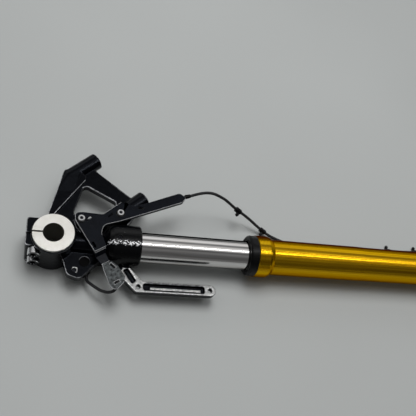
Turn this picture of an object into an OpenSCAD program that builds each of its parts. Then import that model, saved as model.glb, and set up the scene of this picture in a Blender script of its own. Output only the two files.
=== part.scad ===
// Inverted suspension fork leg, lying on its side.
// X runs up the leg from the wheel axle, Z is the axle's own line, and the origin is where they cross.

/* [Tubes] */
// Outside diameter of the chromed inner tube
stanchion_d = 43; // [35.5:0.5:52]
// Wall of the inner tube
stanchion_wall = 2.6; // [2:0.1:3.5]
// Length of the inner tube
stanchion_l = 392; // [326:1:475]
// Length of chrome that shows at full extension
exposed_l = 160; // [133:1:192]
// Stroke of the leg
travel = 125; // [104:1:150]
// Wall of the gold outer tube
outer_wall = 3.35; // [2.75:0.05:5]
// Length of the outer tube
outer_l = 451; // [375:1:542]
// Length of the thick collar that holds the seals
collar_l = 20; // [16.5:0.5:30]
// Wall of the collar round the oil seal
collar_wall = 3.95; // [3.2:0.05:6]

/* [Axle clamp] */
// Bore that the wheel axle passes through
axle_d = 28; // [20:0.5:34]
// Wall of the split collar's sleeve
sleeve_wall = 3.5; // [2.5:0.1:5]
// Diameter of the split collar's flange
flange_d = 56; // [50:0.5:60]
// Thickness of the split collar's flange
flange_t = 5; // [3:0.5:7]
// Metal round the sleeve in the clamp
clamp_wall = 12.5; // [10:0.5:16]
// Height of the clamp's top face over the leg's centre line
clamp_top = 22.5; // [20:0.5:26]
// Width of the slit through the clamp
slit_w = 2.4; // [1.5:0.1:4]
// Thread diameter of the pinch bolts
pinch_d = 8; // [6:1:10]
// Distance between the pinch bolts
pinch_gap = 26; // [22:0.5:30]

/* [Fork bottom] */
// Wall of the socket that holds the inner tube
cup_wall = 8.5; // [6:0.5:11]
// Depth of the socket
socket_l = 45; // [38:1:48]
// Distance from the axle to the socket's mouth
cup_end = 121; // [118:1:130]
// Diameter of the caliper bosses
boss_d = 25; // [20:0.5:30]
// Thread diameter in the caliper bosses
boss_thread_d = 10; // [8:1:12]
// Thickness of the caliper bracket's web
web_t = 11; // [8:0.5:16]
// Width of the mudguard arm
arm_w = 17; // [14:0.5:22]
// Thickness of the mudguard arm
arm_t = 10; // [8:0.5:14]
// Distance between the mudguard holes
arm_pitch = 104; // [90:1:110]
// Diameter of the mudguard holes
arm_hole_d = 6.4; // [5:0.1:8]

/* [Wheel speed lead] */
// Diameter of the sensor's barrel
sensor_d = 14; // [12:0.5:18]
// Diameter of the sensor's lead
lead_d = 4.4; // [3.5:0.1:6]

/* [Cartridge] */
// Outside diameter of the damper cartridge
cartridge_d = 27; // [22:0.5:30]
// Wall of the cartridge
cartridge_wall = 2; // [1.5:0.1:3]
// Length of the cartridge
cartridge_l = 262; // [240:1:275]
// Diameter of the damper rod
rod_d = 12; // [10:0.5:14]
// Wire diameter of the main spring
wire_d = 4.6; // [3.5:0.1:5]
// Mean diameter of the main spring's coils
coil_d = 30.6; // [28:0.2:32]
// Number of turns in the main spring
turns = 15; // [10:1:20]

/* [Hidden] */

$fn = 72;
run = 0.05;            // radial running clearance of a sliding or turning fit
seat = 0.1;            // clearance of a screw or bolt in its plain hole
free = 0.8;            // gap between neighbours that never touch
eps = 0.5;             // how far a cutter runs past a face

// tubes and what they are fitted with
tube_r = stanchion_d / 2;
tube_in_r = tube_r - stanchion_wall;
bush_out = 1.6;        // how far the inner tube's bush stands proud of the chrome
bore_r = tube_r + bush_out + run;
outer_r = bore_r + outer_wall;
seal_w = 5.5;          // radial width of the oil seal
seal_r = tube_r + run + seal_w;
collar_r = seal_r + collar_wall;
rest_z = -collar_r;    // the surface that the leg lies on
tube_x0 = cup_end - socket_l;
tube_x1 = tube_x0 + stanchion_l;
seal_x0 = cup_end + exposed_l;
lip_l = 13;            // the dust seal's part that shows in front of the collar
collar_x0 = seal_x0 + lip_l;
collar_x1 = collar_x0 + collar_l;
outer_x1 = collar_x0 + outer_l;

// rings inside the collar, from its mouth inwards
dust_in = 4;
clip_t = 1.6;
seal_t = 9;
washer_t = 2;
bush_l = 14;
clip_x = collar_x0 + dust_in;
oil_x = clip_x + clip_t;
washer_x = oil_x + seal_t;
bush_x = washer_x + washer_t;
bush_wall = bush_out + 0.6;
bush_recess = 0.7;      // how deep the inner tube's own bush sits in the chrome
bush_inset = 3;         // from that bush to the tube's end
inner_bush_x = tube_x1 - bush_inset - bush_l;

// axle clamp
axle_r = axle_d / 2;
sleeve_r = axle_r + sleeve_wall;
clamp_r = sleeve_r + clamp_wall;
sleeve_bottom = rest_z + 6;
lug_x = -clamp_r - 6;
pinch_x = -sleeve_r - pinch_d / 2 - 2.2;
pinch_z = -3;          // height of the middle between the two pinch bolts
pinch_seat_y = -18;
pinch_head_d = pinch_d * 2;
pinch_head_l = 10;
pinch_l = 34;
pinch_cut_l = 12;       // how far a bolt's seat is cut outwards
pinch_zs = [pinch_z + pinch_gap / 2, pinch_z - pinch_gap / 2];
lug_back = 24;         // how far the lug reaches behind the slit

cup_r = tube_r + cup_wall;
neck_top = 8;
lock_x = 90;
lock_d = 5;

// caliper bracket
boss_r = boss_d / 2;
boss_turn = 42;        // direction of the caliper bolts from the leg's line
boss_1 = [55, 138];    // centre of each boss's machined end
boss_2 = [127, 79.5];
boss_1_l = 50;
boss_2_l = 38;
boss_depth = 24;
flank_rise = 4.5;

// mudguard arm
arm_y = -57.5;
arm_x0 = 121;
arm_top = -5;
arm_rail = 3.2;
arm_pocket = 6.5;
arm_end_gap = 14;      // from a hole's centre to the pocket

// speed sensor and its lug
pad_top = 0;
pad_t = 13;
sensor_at = [45, -27.5];
sensor_screw_at = [32, -41];
screw_d = 6;
sensor_flange_t = 4;

// lead guide
guide_z = 17;
guide_screw_1 = [36, 26];
guide_screw_2 = [90, 40];
guide_screw_d = 5;
guide_wall = 1.7;
post_r = 4.4;
guide_t = lead_d + guide_wall + 0.4;
held_z = guide_z + 0.2 + lead_d / 2;
guide_outline = [[27.5, 24, 3], [27, 35, 5], [37, 37, 3], [65, 36, 4], [84, 52.5, 3], [93, 60.5, 5],
    [108, 53, 10], [130, 61.5, 6], [177, 82.5, 6], [187, 76, 4], [181.5, 67.5, 4], [90, 27.5, 6],
    [67, 19.5, 10], [64.5, 6, 10], [72, -12.5, 1], [56, -22.5, 1]];

// cartridge
cart_r = cartridge_d / 2;
cart_in_r = cart_r - cartridge_wall;
cart_x0 = tube_x0 + 3;
cart_x1 = cart_x0 + cartridge_l;
rod_r = rod_d / 2;
rod_guide_l = 14;
valve_l = 24;
valve_x0 = cart_x0 + 14;
centre_d = 10;
bolt_head_r = 8;
bolt_seat_x = sleeve_r + 14;
neck_x0 = 24;           // where the round neck over the centre bolt leaves the clamp
centre_neck_r = 14;
topout_l = 16;
piston_l = 14;
piston_x1 = cart_x1 - rod_guide_l - topout_l;
piston_x0 = piston_x1 - piston_l;
seat_t = 4;
seat_x1 = cart_x1 + seat_t;
cap_flange_t = 5;
cap_plug_l = 20;
cap_x0 = outer_x1 - cap_plug_l;
cap_hex = 36;           // across the corners of the cap's hexagon
cap_hex_l = 4;
cap_top = outer_x1 + cap_flange_t + cap_hex_l;
o_ring_x = outer_x1 - 6;
o_ring_l = 3;
o_ring_deep = 1.8;
rod_bore_r = 2.6;
needle_r = 2.2;
nut_l = 10;
rod_x1 = cap_x0 + 6;
spring_l = travel + 137;
spring_x0 = seat_x1;
spring_x1 = spring_x0 + spring_l;
disc_t = 3;
spacer_x0 = spring_x1 + disc_t;
spacer_r = coil_d / 2 + 0.6;
spacer_wall = 2;

// adjusters in the top cap
preload_r = 8.5;
preload_hex = 19;
preload_out = 9;
cap_gap = 0.3;          // between the cap and the adjuster's head
rebound_r = 3.4;
rebound_out = 3;

// lead's free run, from the guide's mouth to its hank
lead_r = lead_d / 2;
lead_z = -28.6;         // the lead's centre where it lies on the surface
lead_route = [
    [186, 79, held_z], [195, 81, 21.5], [203, 82.5, 25], [211, 83, 29], [219, 83, 31.5],
    [229, 83, 30], [239, 82.5, 25], [249, 82, 18.5], [257, 81, 12], [265, 79, 6],
    [275, 75.5, 0], [287, 72, -6], [300, 67, -13], [311, 61, -18], [321, 55.5, -22],
    [333, 50, -25.5], [348, 45, -28], [365, 40, lead_z], [390, 37, lead_z], [420, 36, lead_z],
    [450, 36.5, lead_z], [480, 38, lead_z], [510, 40, lead_z], [543, 41.5, -27.8],
    [570, 42, lead_z], [595, 43, -27.8], [614, 45, lead_z]];
// each clip stands on one point of the run
clip_points = [10, 14, 23, 25];
clip_l = 9;
clip_wall = 0.9;
clip_stem = 6;
// the stem points towards the leg on the run's first half, and away from it on the rest
last_near_clip = 20;
function clip_side(i) = i < last_near_clip ? -1 : 1;
hank_x0 = 614;
hank_l = 92;
hank_w = 31;
hank_h = 14;
hank_y = 50;
tail_l = 27;
tail_y = 37;
plug_l = 26;
plug_w = 15;
plug_h = 13;

// lead held on the fork bottom, from the sensor to the guide's mouth
held_route = [
    [50, -40, -18], [51, -48, -18], [57, -55, -14], [64, -61, -11], [71, -66, -8], [79, -69, -4],
    [86, -68.5, 0.5], [89.5, -63, 4], [88, -55, 6], [85, -47, 6.5], [80.5, -38, 6.5], [75.5, -30, 6.5],
    [69.5, -24, 7], [65.5, -19, 9.5], [63, -14, 14], [60.5, -8, 18], [58.5, -1, held_z], [58, 9, held_z],
    [60.5, 18, held_z], [67, 24, held_z], [79, 29, held_z], [93, 33.4, held_z], [108, 41, held_z],
    [124, 50, held_z], [140, 58.5, held_z], [156, 66, held_z], [172, 73.5, held_z], [186, 79, held_z]];

// ---- shared shapes ----

// a corner [x, y, r] of an outline, drawn as an arc from its neighbours a and b
function unit(v) = v / norm(v);
function corner(a, p, b) =
    let (c = [p.x, p.y], u = unit([a.x, a.y] - c), w = unit([b.x, b.y] - c), half = acos(u * w) / 2,
         centre = c + unit(u + w) * p.z / sin(half), reach = p.z / tan(half),
         from = c + u * reach - centre, to = c + w * reach - centre,
         start = atan2(from.y, from.x), turn = atan2(from.x * to.y - from.y * to.x, from * to))
    p.z == 0 ? [c] : [for (k = [0:5]) centre + p.z * [cos(start + turn * k / 5), sin(start + turn * k / 5)]];
function outline(p) =
    [for (i = [0:len(p) - 1]) each corner(p[(i + len(p) - 1) % len(p)], p[i], p[(i + 1) % len(p)])];

// a plate of that outline between two heights
module plate(points, bottom, top) {
    translate([0, 0, bottom]) linear_extrude(top - bottom) polygon(outline(points));
}

// a solid of revolution about the leg's line, from [radius, x] points
module turned(points) {
    rotate([0, 90, 0]) rotate_extrude() polygon(points);
}

// a ring about the leg's line
module ring(x0, x1, inner, outer) {
    turned([[inner, x0], [outer, x0], [outer, x1], [inner, x1]]);
}

// a rod about the leg's line
module rod(x0, x1, r) {
    translate([x0, 0, 0]) rotate([0, 90, 0]) cylinder(h = x1 - x0, r = r);
}

// a smooth run through route points, step places to a span
function smooth(p, step) = [
    for (i = [0:len(p) - 2]) let (a = p[max(i - 1, 0)], b = p[i], c = p[i + 1], d = p[min(i + 2, len(p) - 1)])
        for (k = [0:step - 1]) let (t = k / step)
            b + (c - a) * t / 2 + (2 * a - 5 * b + 4 * c - d) * t * t / 2
                + (3 * b - a - 3 * c + d) * t * t * t / 2,
    p[len(p) - 1]];

// a round tube swept along points, its rings kept level with the up direction
module swept(p, r, sides, up = [0, 0, 1]) {
    n = len(p);
    rings = [for (i = [0:n - 1])
        let (along = unit(p[min(i + 1, n - 1)] - p[max(i - 1, 0)]), side = unit(cross(up, along)),
             over = cross(along, side))
        for (k = [0:sides - 1]) p[i] + r * (cos(360 * k / sides) * side + sin(360 * k / sides) * over)];
    skin = [for (i = [0:n - 2], k = [0:sides - 1])
        let (m = (k + 1) % sides, a = i * sides)
        each [[a + k, a + sides + k, a + sides + m], [a + k, a + sides + m, a + m]]];
    ends = [[for (k = [0:sides - 1]) k], [for (k = [sides - 1:-1:0]) (n - 1) * sides + k]];
    polyhedron(points = rings, faces = concat(skin, ends));
}

// a socket-head screw standing along +Z with its head's underside at the origin
module socket_screw(d, l, head_d, head_l) {
    difference() {
        union() {
            cylinder(h = head_l, d = head_d);
            translate([0, 0, -l]) cylinder(h = l + eps, d = d);
        }
        translate([0, 0, head_l / 2]) cylinder(h = head_l, d = head_d * 0.58, $fn = 6);
    }
}

// a boss from its machined end back into the bracket
module boss(end, l) {
    translate([end.x, end.y, 0]) rotate([0, 0, boss_turn]) rotate([0, -90, 0]) cylinder(h = l, r = boss_r);
}

// the thread in a boss
module boss_hole(end) {
    translate([end.x, end.y, 0]) rotate([0, 0, boss_turn]) translate([eps, 0, 0])
        rotate([0, -90, 0]) cylinder(h = boss_depth + eps, d = boss_thread_d);
}

// ---- fork bottom ----

module caliper_bracket() {
    half = web_t / 2;
    difference() {
        plate([[-10, 16, 0], [-9, 38, 8], [9, 109, 4], [48, 124, 6], [60, 113, 6], [109, 76, 6], [122, 66, 4],
            [110, 40, 6], [90, 14, 0], [40, 0, 0]], -half, half);
        plate([[25, 42, 5], [39, 91.5, 6], [87, 66.5, 5], [80, 52, 6], [45, 36, 6]], -half - eps, half + eps);
    }
    // the raised left flank that runs up into the long boss
    plate([[-9, 20, 0], [-9, 38, 8], [9, 111, 2], [24, 118, 0], [40, 104, 0], [40, 97, 3], [0, 38, 4]],
        0, half + flank_rise);
    boss(boss_1, boss_1_l);
    boss(boss_2, boss_2_l);
}

module mudguard_arm() {
    half = arm_w / 2;
    arm_x1 = arm_x0 + arm_pitch;
    bottom = arm_top - arm_t;
    difference() {
        plate([[84, -18, 0], [108, -22, 0], [108, -28, 4], [127, arm_y + half, 12],
            [arm_x1 + half, arm_y + half, half - 0.2], [arm_x1 + half, arm_y - half, half - 0.2],
            [arm_x0 - 4, arm_y - half, 6], [96, -44, 6]], bottom, arm_top);
        plate([[arm_x0 + arm_end_gap - 7, arm_y + half - arm_rail, 3],
            [arm_x1 - arm_end_gap + 6, arm_y + half - arm_rail, 3],
            [arm_x1 - arm_end_gap + 6, arm_y - half + arm_rail, 3],
            [arm_x0 + arm_end_gap - 7, arm_y - half + arm_rail, 3]], arm_top - arm_pocket, arm_top + eps);
        plate([[99, -34, 2], [106, -31, 2], [118, -49, 2], [112, -54, 2]],
            arm_top - arm_pocket, arm_top + eps);
        for (x = [arm_x0, arm_x1])
            translate([x, arm_y, bottom - eps]) cylinder(h = arm_t + 2 * eps, d = arm_hole_d);
    }
}

module sensor_lug() {
    plate([[2, -6, 0], [12, -16, 1], [22, -48, 9], [40, -54, 10], [57, -34, 8], [68, -24, 6],
        [68, -14, 0], [40, 6, 0]],
        pad_top - pad_t, pad_top);
}

module clamp_body() {
    translate([0, 0, rest_z]) cylinder(h = clamp_top - rest_z, r = clamp_r);
    plate([[lug_x, pinch_seat_y, 3], [0, pinch_seat_y, 0], [0, lug_back, 0], [lug_x, lug_back, 3]],
        rest_z, clamp_top - 2.5);
    // the foot of the lug, round the lower bolt's seat
    plate([[lug_x + 1.5, pinch_seat_y - 2, 3], [0, pinch_seat_y - 2, 0], [0, 0, 0], [lug_x + 1.5, 0, 3]],
        rest_z, pinch_zs[1] - pinch_head_d / 2 - 1);
}

// the outside of the inner tube's socket, grown by extra
module socket_body(extra) {
    r = cup_r + extra;
    neck_r = centre_neck_r + extra;
    turned([[0, neck_x0], [neck_r, neck_x0], [neck_r + 1, tube_x0 - 10], [neck_r + 3, tube_x0 - 6],
        [r - 4, tube_x0 + 0.5], [r - 1, tube_x0 + 6], [r, tube_x0 + 10],
        [r, cup_end - 2], [r - 2, cup_end], [0, cup_end]]);
}

module fork_bottom() color("#15161a") {
    difference() {
        union() {
            clamp_body();
            // neck between the clamp and the socket
            plate([[8, -24, 0], [84, -22, 0], [84, 22, 0], [60, 32, 6], [8, 32, 0]], -24, pad_top);
            plate([[26, 32, 0], [60, 32, 6], [84, 22, 0], [84, -12, 0], [60, -12, 4], [30, 20, 4]],
                pad_top - 1, neck_top);
            socket_body(0);
            caliper_bracket();
            mudguard_arm();
            sensor_lug();
        }
        // bore for the split collar, and the slit through the lug
        translate([0, 0, rest_z - eps]) cylinder(h = clamp_top - rest_z + 2 * eps, r = sleeve_r);
        translate([lug_x - eps, -slit_w / 2, rest_z - eps])
            cube([-lug_x, slit_w, clamp_top - rest_z + 2 * eps]);
        for (z = pinch_zs) {
            translate([pinch_x, pinch_seat_y - pinch_cut_l, z]) rotate([-90, 0, 0])
                cylinder(h = pinch_l + pinch_cut_l, d = pinch_d + 2 * seat);
            translate([pinch_x, pinch_seat_y, z]) rotate([90, 0, 0])
                cylinder(h = pinch_cut_l, d = pinch_head_d + 2 * free);
        }
        // socket for the inner tube, and the centre bolt's passage
        rod(tube_x0, cup_end + eps, tube_r);
        rod(sleeve_r - eps, bolt_seat_x, bolt_head_r + free);
        rod(bolt_seat_x - eps, tube_x0 + eps, centre_d / 2 + seat);
        translate([lock_x, 0, 0]) cylinder(h = cup_r + eps, d = lock_d);
        boss_hole(boss_1);
        boss_hole(boss_2);
        translate([sensor_at.x, sensor_at.y, pad_top - pad_t - sensor_flange_t - eps])
            cylinder(h = pad_t + sensor_flange_t + 2 * eps, r = sensor_d / 2 + seat);
        translate([sensor_screw_at.x, sensor_screw_at.y, pad_top - pad_t - eps])
            cylinder(h = pad_t + 2 * eps, d = screw_d);
    }
}

module axle_collar() color("#dedcd4") {
    difference() {
        union() {
            translate([0, 0, clamp_top]) cylinder(h = flange_t, d = flange_d);
            translate([0, 0, sleeve_bottom]) cylinder(h = clamp_top - sleeve_bottom + eps, r = sleeve_r);
        }
        translate([0, 0, sleeve_bottom - eps])
            cylinder(h = clamp_top + flange_t - sleeve_bottom + 2 * eps, r = axle_r);
        translate([-flange_d, -slit_w / 2, sleeve_bottom - eps])
            cube([flange_d, slit_w, clamp_top + flange_t - sleeve_bottom + 2 * eps]);
    }
}

module pinch_bolts() color("#c4c6c8") {
    for (z = pinch_zs)
        translate([pinch_x, pinch_seat_y, z]) rotate([90, 0, 0])
            socket_screw(pinch_d, pinch_l, pinch_head_d, pinch_head_l);
}

module inner_tube() color("#b9bcc0") {
    groove_r = tube_r - bush_recess;
    turned([[tube_in_r, tube_x0], [tube_r, tube_x0], [tube_r, inner_bush_x], [groove_r, inner_bush_x],
        [groove_r, inner_bush_x + bush_l], [tube_r, inner_bush_x + bush_l], [tube_r, tube_x1 - 1],
        [tube_r - 1, tube_x1], [tube_in_r, tube_x1]]);
}

module inner_bush() color("#7d6b4a") {
    ring(inner_bush_x, inner_bush_x + bush_l, tube_r - bush_recess, tube_r + bush_out);
}

module tube_lock_screw() color("#1c1c1f") {
    difference() {
        translate([lock_x, 0, tube_r]) cylinder(h = 6.5, d = lock_d);
        translate([lock_x, 0, tube_r + 4]) cylinder(h = 4, d = 2.5, $fn = 6);
    }
}

module centre_bolt_washer() color("#b87446") {
    ring(bolt_seat_x - 1.5, bolt_seat_x, centre_d / 2 + seat, bolt_head_r);
}

module centre_bolt() color("#54565a") {
    rotate([0, 90, 0]) rotate([0, 0, 30]) translate([0, 0, bolt_seat_x - 1.5]) mirror([0, 0, 1])
        socket_screw(centre_d, tube_x0 - bolt_seat_x + 16, bolt_head_r * 2, 9);
}

// ---- cartridge in the inner tube ----

module cartridge_tube() color("#9da0a4") {
    difference() {
        union() {
            rod(cart_x0, cart_x1, cart_r);
            rod(tube_x0, cart_x0 + 2, tube_in_r - 0.4);
        }
        rod(cart_x0 + 6, cart_x1 + eps, cart_in_r);
        rod(tube_x0 - eps, cart_x0 + 7, centre_d / 2);
    }
}

module base_valve() color("#8a7b56") {
    rod(valve_x0, valve_x0 + valve_l / 3, cart_in_r);
    rod(valve_x0 + valve_l / 3, valve_x0 + valve_l, cart_in_r * 0.55);
}

module rod_guide() color("#7b7e83") {
    ring(cart_x1 - rod_guide_l, cart_x1, rod_r + 1.2, cart_in_r);
}

module rod_guide_bush() color("#7d6b4a") {
    ring(cart_x1 - rod_guide_l, cart_x1, rod_r + run, rod_r + 1.2);
}

module spring_seat() color("#2b2c30") {
    ring(cart_x1, seat_x1, rod_r + free, tube_in_r - 0.5);
}

module main_spring() color("#84888d") {
    places = 12;
    n = turns * places;
    pitch_l = (spring_l - wire_d - 0.4) / n;
    x0 = spring_x0 + wire_d / 2 + 0.2;
    points = [for (i = [0:n]) let (turn = 360 * i / places)
        [x0 + pitch_l * i, coil_d / 2 * cos(turn), coil_d / 2 * sin(turn)]];
    swept(points, wire_d / 2, 6, [1, 0, 0]);
}

module spacer_washer() color("#9da0a4") {
    ring(spring_x1, spring_x1 + disc_t, rod_r + free, spacer_r + 1.5);
}

module spring_spacer() color("#a6a9ad") {
    ring(spacer_x0, cap_x0, spacer_r - spacer_wall, spacer_r);
}

module damper_rod() color("#c9cbce") {
    ring(piston_x0 - 8, rod_x1, rod_bore_r, rod_r);
}

module needle_rod() color("#8e9094") {
    rod(piston_x0 - 4, cap_x0 + 4, needle_r);
}

module damper_piston() color("#8a7b56") {
    ring(piston_x0, piston_x1, rod_r, cart_in_r - 1.4);
}

module piston_ring() color("#3a3026") {
    ring(piston_x0 + 4, piston_x1 - 4, cart_in_r - 1.4, cart_in_r - run);
}

module topout_spring() color("#84888d") {
    places = 10;
    wire = 2;
    n = 4 * places;
    x0 = piston_x1 + wire / 2 + 0.1;
    pitch_l = (topout_l - wire - 0.2) / n;
    coil_r = rod_r + wire / 2 + 0.5;
    points = [for (i = [0:n]) let (turn = 360 * i / places)
        [x0 + pitch_l * i, coil_r * cos(turn), coil_r * sin(turn)]];
    swept(points, wire / 2, 6, [1, 0, 0]);
}

module rod_lock_nut() color("#54565a") {
    difference() {
        translate([cap_x0 - nut_l, 0, 0]) rotate([0, 90, 0]) cylinder(h = nut_l, d = 20, $fn = 6);
        rod(cap_x0 - nut_l - eps, cap_x0 + eps, rod_r);
    }
}

// ---- outer tube and its seals ----

module outer_tube() color("#c8960c") {
    upper_r = outer_r - 0.35;   // the stretch that the triple clamps hold is turned a touch smaller
    difference() {
        turned([[bore_r, collar_x0], [collar_r - 0.8, collar_x0], [collar_r, collar_x0 + 0.8],
            [collar_r, collar_x1 - 3],
            [collar_r - 1, collar_x1], [outer_r, collar_x1 + 5], [outer_r, collar_x1 + 150],
            [upper_r, collar_x1 + 165], [upper_r, outer_x1 - 1], [upper_r - 1, outer_x1],
            [bore_r, outer_x1]]);
        rod(collar_x0 - eps, bush_x, seal_r);
        rod(clip_x, clip_x + clip_t, seal_r + 0.8);
        rod(bush_x - eps, bush_x + bush_l, tube_r + run + bush_wall);
    }
}

module dust_seal() color("#17171a") {
    difference() {
        turned([[tube_r + run, seal_x0 + 0.6], [tube_r + 1.2, seal_x0], [tube_r + 2.2, seal_x0 + 2],
            [tube_r + 3.4, seal_x0 + 2], [tube_r + 4.4, seal_x0 + 0.4], [collar_r - 3.2, seal_x0 + 0.4],
            [collar_r - 1.2, seal_x0 + 2.6], [collar_r - 0.8, seal_x0 + 4.5],
            [collar_r - 0.8, collar_x0], [seal_r, collar_x0], [seal_r, clip_x - 0.2],
            [tube_r + run, clip_x - 0.2]]);
        ring(seal_x0 + 7, clip_x + eps, tube_r + 1.2, tube_r + 2.6);
    }
}

module seal_clip() color("#a9abae") {
    ring(clip_x, clip_x + clip_t, seal_r - 2.2, seal_r + 0.8);
}

module oil_seal() color("#262629") {
    difference() {
        ring(oil_x, washer_x, tube_r + run, seal_r);
        ring(oil_x - eps, washer_x - 2.5, tube_r + 1.6, seal_r - 1.4);
    }
}

module seal_washer() color("#a9abae") {
    ring(washer_x, bush_x, tube_r + 0.5, seal_r);
}

module outer_bush() color("#7d6b4a") {
    ring(bush_x, bush_x + bush_l, tube_r + run, tube_r + run + bush_wall);
}

module top_cap() color("#26272b") {
    difference() {
        union() {
            turned([[0, cap_x0], [bore_r, cap_x0], [bore_r, outer_x1], [outer_r - 0.6, outer_x1],
                [outer_r - 0.6, outer_x1 + cap_flange_t - 1.5], [outer_r - 2.1, outer_x1 + cap_flange_t],
                [0, outer_x1 + cap_flange_t]]);
            translate([outer_x1, 0, 0]) rotate([0, 90, 0])
                cylinder(h = cap_flange_t + cap_hex_l, d = cap_hex, $fn = 6);
        }
        rod(cap_x0 + 8, cap_top + eps, preload_r + run);
        rod(cap_x0 - eps, cap_x0 + 9, rod_r);
        ring(o_ring_x, o_ring_x + o_ring_l, bore_r - o_ring_deep, bore_r + eps);
    }
}

module cap_o_ring() color("#111113") {
    ring(o_ring_x + 0.2, o_ring_x + o_ring_l - 0.2, bore_r - o_ring_deep, bore_r);
}

module preload_adjuster() color("#b98a12") {
    difference() {
        union() {
            rod(cap_x0 + 8.5, cap_top + 1, preload_r);
            translate([cap_top + cap_gap, 0, 0]) rotate([0, 90, 0])
                cylinder(h = preload_out, d = preload_hex / cos(30), $fn = 6);
        }
        rod(cap_x0 + 8, cap_top + preload_out + 1, rebound_r + run);
    }
}

module rebound_adjuster() color("#8e2a22") {
    top = cap_top + cap_gap + preload_out;
    difference() {
        rod(cap_x0 + 9, top + rebound_out, rebound_r);
        translate([top + rebound_out - 1.2, -rebound_r, -0.5]) cube([2, 2 * rebound_r, 1]);
    }
}

// ---- speed sensor and the lead's guide ----

module lead_guide() color("#1d1f24") {
    top = guide_z + guide_t;
    difference() {
        plate(guide_outline, guide_z, top);
        translate([0, 0, guide_z - eps]) linear_extrude(guide_t - guide_wall + eps)
            offset(delta = -guide_wall) polygon(outline(guide_outline));
        socket_body(free);
        // the lead's way out
        translate(lead_route[0]) rotate([0, 90, 20]) cylinder(h = 16, r = lead_r + 0.5, center = true);
        for (p = [guide_screw_1, guide_screw_2])
            translate([p.x, p.y, top - guide_wall - eps])
                cylinder(h = guide_wall + 2 * eps, d = guide_screw_d + 2 * seat);
        // slots for cable ties
        for (s = [[46, 27, 50], [76, 36, 45], [96, 57, -35], [119, 51.5, -10], [55, -12, -58]])
            translate([s.x, s.y, top]) rotate([0, 0, s.z]) cube([9, 3.2, 4 * guide_wall], center = true);
    }
}

module guide_tail() color("#2a2d33") {
    sheet = 2;
    step_top = guide_z + 4;
    strap_top = 13;
    tail_top = 12;
    lip = [[56.25, -22.45, 0], [71.25, -13.05, 0], [71.8, -13.9, 0], [56.8, -23.3, 0]];
    fold = [[58.5, -25.5, 0], [71.5, -17.3, 0], [72, -18.1, 0], [59, -26.3, 0]];
    hem = [[66.6, -34.6, 0], [77.5, -28.6, 0], [78, -29.6, 0], [67.2, -35.6, 0]];
    difference() {
        union() {
            hull() {
                plate(lip, step_top - sheet, step_top);
                plate(fold, strap_top - sheet, strap_top);
            }
            hull() {
                plate(fold, strap_top - sheet, strap_top);
                plate(hem, tail_top - sheet - 0.5, tail_top - 0.5);
            }
            plate([[68, -34.5, 1], [81, -29.5, 2], [90, -36, 3], [100.5, -51.5, 3], [98.5, -60, 4],
                [89.5, -70.5, 4], [83, -70, 3], [78.5, -64.5, 3], [69.5, -42, 2]], tail_top - sheet, tail_top);
        }
        for (t = [[82.5, -36.5, -40], [88.5, -60, 32]])
            translate([t.x, t.y, tail_top]) rotate([0, 0, t.z]) cube([9, 3.4, 9], center = true);
        socket_body(free);
    }
}

module guide_posts() color("#26272b") {
    for (p = [guide_screw_1, guide_screw_2])
        translate([p.x, p.y, post_z(p)]) difference() {
            cylinder(h = guide_z + guide_t - guide_wall - post_z(p), r = post_r);
            translate([0, 0, 6]) cylinder(h = 30, d = guide_screw_d);
        }
}
// the height of the casting under a guide screw
function post_z(p) = p == guide_screw_1 ? neck_top : web_t / 2;

module guide_screws() color("#cfd0d2") {
    for (p = [guide_screw_1, guide_screw_2])
        translate([p.x, p.y, guide_z + guide_t]) socket_screw(guide_screw_d, 8, 9, 3);
}

module speed_sensor() color("#1b1b1e") {
    difference() {
        union() {
            translate([sensor_at.x, sensor_at.y, pad_top - pad_t - sensor_flange_t])
                cylinder(h = pad_t + sensor_flange_t - 2, d = sensor_d);
            plate([[24, -46, 7], [40, -49, 7], [56, -38, 8], [54, -24.5, 6], [36, -24.5, 6]],
                pad_top - pad_t - sensor_flange_t, pad_top - pad_t);
        }
        translate([sensor_screw_at.x, sensor_screw_at.y, pad_top - pad_t - 8])
            cylinder(h = 10, d = screw_d + 2 * seat);
    }
}

module sensor_screw() color("#c4c6c8") {
    translate([sensor_screw_at.x, sensor_screw_at.y, pad_top - pad_t - sensor_flange_t]) mirror([0, 0, 1])
        difference() {
            union() {
                cylinder(h = 5, d = 10);
                translate([0, 0, -14]) cylinder(h = 14, d = screw_d);
            }
            translate([0, 0, 2.5]) cylinder(h = 5, d = 5, $fn = 6);
        }
}

module sensor_lead() color("#141416") {
    swept(smooth(held_route, 2), lead_r, 8);
}

// ---- the lead's free run ----

module lead_grommet() color("#141416") {
    length = 8;
    way = lead_route[1] - lead_route[0];
    translate(lead_route[0]) rotate([0, 90 - atan2(way.z, norm([way.x, way.y])), atan2(way.y, way.x)])
        difference() {
            cylinder(h = length, r1 = lead_r + 1.2, r2 = lead_r + 0.6);
            translate([0, 0, -1]) cylinder(h = length + 2, r = lead_r + 0.15);
        }
}

module sensor_cable() color("#141416") {
    swept(smooth(lead_route, 2), lead_r, 8);
}

module cable_clips() color("#101012") {
    for (i = clip_points) {
        p = lead_route[i];
        along = lead_route[i + 1] - lead_route[i - 1];
        translate(p) rotate([0, 0, atan2(along.y, along.x)])
            rotate([0, -atan2(along.z, norm([along.x, along.y])), 0])
            translate([-clip_l / 2, 0, 0]) difference() {
                union() {
                    rotate([0, 90, 0]) cylinder(h = clip_l, r = lead_r + clip_wall);
                    translate([clip_l / 2 - 2, clip_side(i) * (lead_r + clip_stem / 2) - clip_stem / 2, -1.5])
                        cube([4, clip_stem, 3]);
                }
                translate([-1, 0, 0]) rotate([0, 90, 0]) cylinder(h = clip_l + 2, r = lead_r + 0.1);
            }
    }
}

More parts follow.
